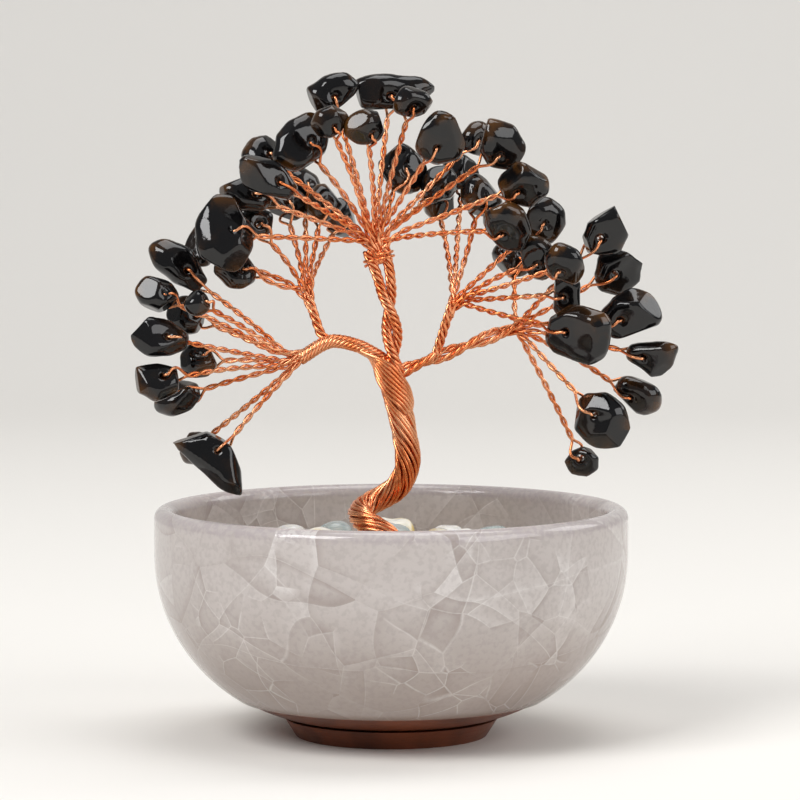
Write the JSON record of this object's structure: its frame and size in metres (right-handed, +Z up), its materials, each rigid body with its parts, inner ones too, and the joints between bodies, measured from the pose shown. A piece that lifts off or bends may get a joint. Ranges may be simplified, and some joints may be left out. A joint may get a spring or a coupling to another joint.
{
  "type": "gemstone tree ornament",
  "caption": "Tree of twisted copper wire with drilled black stone chips on its twigs, set with loose stones in a small crackle-glazed bowl.",
  "frame": {"origin": "centre of the foot ring of the bowl, on the surface it stands on", "axes": "+Z up the bowl axis, the open face of the tree faces -Y, +X to its right in the picture"},
  "size_m": [0.0738, 0.065, 0.0903],
  "materials": {
    "glazed_bowl": "glossy pale grey crackle glaze over red-brown clay, bare at the foot",
    "setting_bed": "matt set plaster with fine grit",
    "copper_wire": "bright copper craft wire, drawn and twisted",
    "obsidian": "tumbled black volcanic glass, glossy",
    "white_stones": "milky tumbled quartz",
    "yellow_stones": "pale yellow tumbled quartz",
    "clear_stones": "pale aqua clear tumbled stone"
  },
  "bodies": {
    "tree": {"bowl": "glazed_bowl", "clear_stones": "clear_stones", "crown_chip_1": "obsidian", "crown_chip_10": "obsidian", "crown_chip_11": "obsidian", "crown_chip_12": "obsidian", "crown_chip_13": "obsidian", "crown_chip_14": "obsidian", "crown_chip_2": "obsidian", "crown_chip_3": "obsidian", "crown_chip_5": "obsidian", "crown_chip_6": "obsidian", "crown_chip_7": "obsidian", "crown_chip_8": "obsidian", "crown_chip_9": "obsidian", "crown_tie": "copper_wire", "crown_twigs": "copper_wire", "leader": "copper_wire", "left_bough": "copper_wire", "left_lower_chip_1": "obsidian", "left_lower_chip_10": "obsidian", "left_lower_chip_2": "obsidian", "left_lower_chip_4": "obsidian", "left_lower_chip_5": "obsidian", "left_lower_chip_7": "obsidian", "left_lower_chip_8": "obsidian", "left_lower_chip_9": "obsidian", "left_lower_twigs": "copper_wire", "left_upper_bough": "copper_wire", "left_upper_chip_1": "obsidian", "left_upper_chip_2": "obsidian", "left_upper_chip_3": "obsidian", "left_upper_twigs": "copper_wire", "rear_chips": "obsidian", "right_bough": "copper_wire", "right_lower_chip_4": "obsidian", "right_lower_chip_5": "obsidian", "right_lower_chip_6": "obsidian", "right_lower_twigs": "copper_wire", "right_upper_bough": "copper_wire", "right_upper_chip_1": "obsidian", "right_upper_chip_3": "obsidian", "right_upper_chip_7": "obsidian", "right_upper_chip_8": "obsidian", "right_upper_twigs": "copper_wire", "setting_bed": "setting_bed", "trunk": "copper_wire", "white_stones": "white_stones", "wire_loops": "copper_wire", "yellow_stones": "yellow_stones"},
    "crown_chip_4": {"crown_chip_4": "obsidian"},
    "left_lower_chip_3": {"left_lower_chip_3": "obsidian"},
    "left_lower_chip_6": {"left_lower_chip_6": "obsidian"},
    "right_upper_chip_4": {"right_upper_chip_4": "obsidian"},
    "right_lower_chip_2": {"right_lower_chip_2": "obsidian"},
    "right_lower_chip_3": {"right_lower_chip_3": "obsidian"},
    "right_lower_chip_7": {"right_lower_chip_7": "obsidian"},
    "right_lower_chip_8": {"right_lower_chip_8": "obsidian"}
  },
  "joints": [
    {"name": "crown_chip_4_swing", "type": "hinge", "parent": "tree", "child": "crown_chip_4", "pos_m": [0.00613, -0.00758, 0.0813], "axis": [-0.0006, -0.8721, -0.4893], "range_deg": [-25, 25]},
    {"name": "left_lower_chip_3_swing", "type": "hinge", "parent": "tree", "child": "left_lower_chip_3", "pos_m": [-0.02356, -0.00304, 0.03914], "axis": [-0.0369, -0.9751, 0.2185], "range_deg": [-25, 25]},
    {"name": "left_lower_chip_6_swing", "type": "hinge", "parent": "tree", "child": "left_lower_chip_6", "pos_m": [-0.03093, -0.00837, 0.04961], "axis": [0.3302, -0.8674, 0.3722], "range_deg": [-25, 25]},
    {"name": "right_upper_chip_4_swing", "type": "hinge", "parent": "tree", "child": "right_upper_chip_4", "pos_m": [0.02406, -0.00935, 0.05608], "axis": [-0.4602, -0.8849, -0.072], "range_deg": [-25, 25]},
    {"name": "right_lower_chip_2_swing", "type": "hinge", "parent": "tree", "child": "right_lower_chip_2", "pos_m": [0.02625, 0.00386, 0.03794], "axis": [-0.2405, -0.929, -0.2814], "range_deg": [-25, 25]},
    {"name": "right_lower_chip_3_swing", "type": "hinge", "parent": "tree", "child": "right_lower_chip_3", "pos_m": [0.02847, -0.00112, 0.0684], "axis": [0.0528, -0.9788, -0.198], "range_deg": [-25, 25]},
    {"name": "right_lower_chip_7_swing", "type": "hinge", "parent": "tree", "child": "right_lower_chip_7", "pos_m": [0.03455, -0.0023, 0.05237], "axis": [-0.2124, -0.9522, -0.2195], "range_deg": [-25, 25]},
    {"name": "right_lower_chip_8_swing", "type": "hinge", "parent": "tree", "child": "right_lower_chip_8", "pos_m": [0.02794, -0.00223, 0.04437], "axis": [-0.3098, -0.9496, -0.0473], "range_deg": [-25, 25]}
  ]
}
